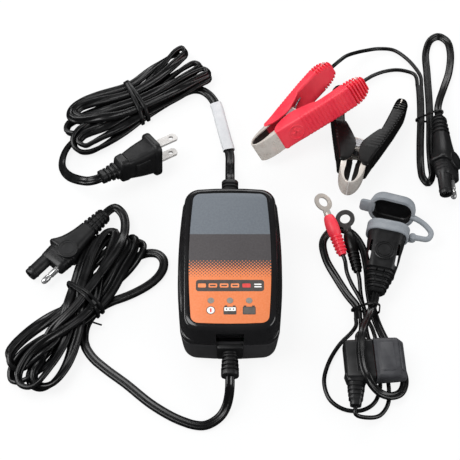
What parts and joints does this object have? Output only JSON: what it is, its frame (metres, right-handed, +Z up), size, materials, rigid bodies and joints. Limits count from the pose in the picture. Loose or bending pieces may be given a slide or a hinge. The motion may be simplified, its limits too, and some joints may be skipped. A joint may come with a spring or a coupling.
{
  "type": "car battery charger",
  "caption": "Compact battery charger with a hanked mains cord and battery cord, a lead with sprung clamps and a fused lead with ring terminals.",
  "frame": {"origin": "middle of the charger's flat underside, on the surface that the whole kit lies on", "axes": "+Z up, +Y along the charger towards the mains cord, +X towards the two loose leads"},
  "size_m": [0.2863, 0.2873, 0.0446],
  "materials": {
    "black_grip_vinyl": "satin",
    "black_vinyl": "satin",
    "blade_metal": "polished",
    "board_laminate": "satin",
    "capacitor_sleeve": "gloss",
    "case_plastic": "glossy",
    "contact_metal": "polished",
    "cord_vinyl": "satin",
    "core_steel": "matte",
    "dark_terminal": "tinned, dull",
    "fuse_plastic": "translucent",
    "grey_rubber": "matte",
    "holder_plastic": "fine texture",
    "jaw_plate": "polished",
    "label_film": "satin print",
    "light_lens": "clear, unlit",
    "lower_case_plastic": "satin",
    "pivot_steel": "satin",
    "red_grip_vinyl": "satin",
    "screw_steel": "satin",
    "sleeve_film": "satin",
    "spring_steel": "satin",
    "terminal_tin": "tinned",
    "tie_wire": "satin",
    "winding_wire": "enamelled"
  },
  "bodies": {
    "charger": {"case_top": "case_plastic", "case_bottom": "lower_case_plastic", "front_label": "label_film", "status_lights": "light_lens", "circuit_board": "board_laminate", "transformer_core": "core_steel", "transformer_winding": "winding_wire", "capacitors": "capacitor_sleeve", "case_screws": "screw_steel", "ac_bushing": "black_vinyl", "dc_bushing": "black_vinyl", "ac_cord_lead": "cord_vinyl", "ac_cord_hank": "cord_vinyl", "ac_cord_tail": "cord_vinyl", "ac_cord_sleeve": "sleeve_film", "ac_cord_tie": "tie_wire", "ac_plug": "black_vinyl", "plug_blades": "blade_metal", "dc_cord_lead": "cord_vinyl", "dc_cord_hank": "cord_vinyl", "dc_cord_loop": "cord_vinyl", "dc_cord_tail": "cord_vinyl", "dc_cord_tie": "tie_wire", "dc_connector": "black_vinyl", "dc_contacts": "contact_metal"},
    "clamp_lead": {"clamp_connector": "black_vinyl", "clamp_contacts": "contact_metal", "clamp_cord": "cord_vinyl", "clamp_red_wire": "cord_vinyl", "clamp_black_wire": "cord_vinyl", "clamp_cord_tie": "tie_wire", "red_fixed_jaw": "jaw_plate", "red_fixed_grip": "red_grip_vinyl", "red_pivot": "pivot_steel", "red_spring": "spring_steel", "black_fixed_jaw": "jaw_plate", "black_fixed_grip": "black_grip_vinyl", "black_pivot": "pivot_steel", "black_spring": "spring_steel"},
    "red_clamp_half": {"red_moving_jaw": "jaw_plate", "red_moving_grip": "red_grip_vinyl"},
    "black_clamp_half": {"black_moving_jaw": "jaw_plate", "black_moving_grip": "black_grip_vinyl"},
    "ring_lead": {"weather_connector": "black_vinyl", "weather_contacts": "contact_metal", "cap_collar": "grey_rubber", "fuse_holder": "holder_plastic", "blade_fuse": "fuse_plastic", "ring_cord": "cord_vinyl", "ring_fuse_wire": "cord_vinyl", "ring_red_wire": "cord_vinyl", "ring_black_wire": "cord_vinyl", "ring_cord_tie": "tie_wire", "red_terminal": "terminal_tin", "black_terminal": "dark_terminal", "red_boot": "red_grip_vinyl", "black_boot": "black_grip_vinyl"},
    "connector_cap": {"weather_cap": "grey_rubber", "cap_tether": "grey_rubber"},
    "fuse_holder_cap": {"fuse_cap": "holder_plastic"}
  },
  "joints": [
    {"name": "clamp_lead_lift", "type": "slide", "parent": "charger", "child": "clamp_lead", "axis": [0, 0, 1], "range_m": [0, 0.15]},
    {"name": "ring_lead_lift", "type": "slide", "parent": "charger", "child": "ring_lead", "axis": [0, 0, 1], "range_m": [0, 0.15]},
    {"name": "red_clamp_open", "type": "hinge", "parent": "clamp_lead", "child": "red_clamp_half", "pos_m": [0.0418, 0.1116, 0.0168], "axis": [-0.4871, 0.3212, 0.8121], "range_deg": [0, 14], "stiffness_Nm_per_rad": 1.5, "springref_deg": -17.19},
    {"name": "black_clamp_open", "type": "hinge", "parent": "clamp_lead", "child": "black_clamp_half", "pos_m": [0.0813, 0.0921, 0.0124], "axis": [0.0403, 0.0868, 0.9954], "range_deg": [0, 30], "stiffness_Nm_per_rad": 1.5, "springref_deg": -17.19},
    {"name": "cap_swing", "type": "hinge", "parent": "ring_lead", "child": "connector_cap", "pos_m": [0.11229, 0.02892, 0.0097], "axis": [0, 0, 1], "range_deg": [-60, 0]},
    {"name": "fuse_cap_pull", "type": "slide", "parent": "ring_lead", "child": "fuse_holder_cap", "axis": [0.9986, 0.0523, 0], "range_m": [0, 0.02]}
  ]
}
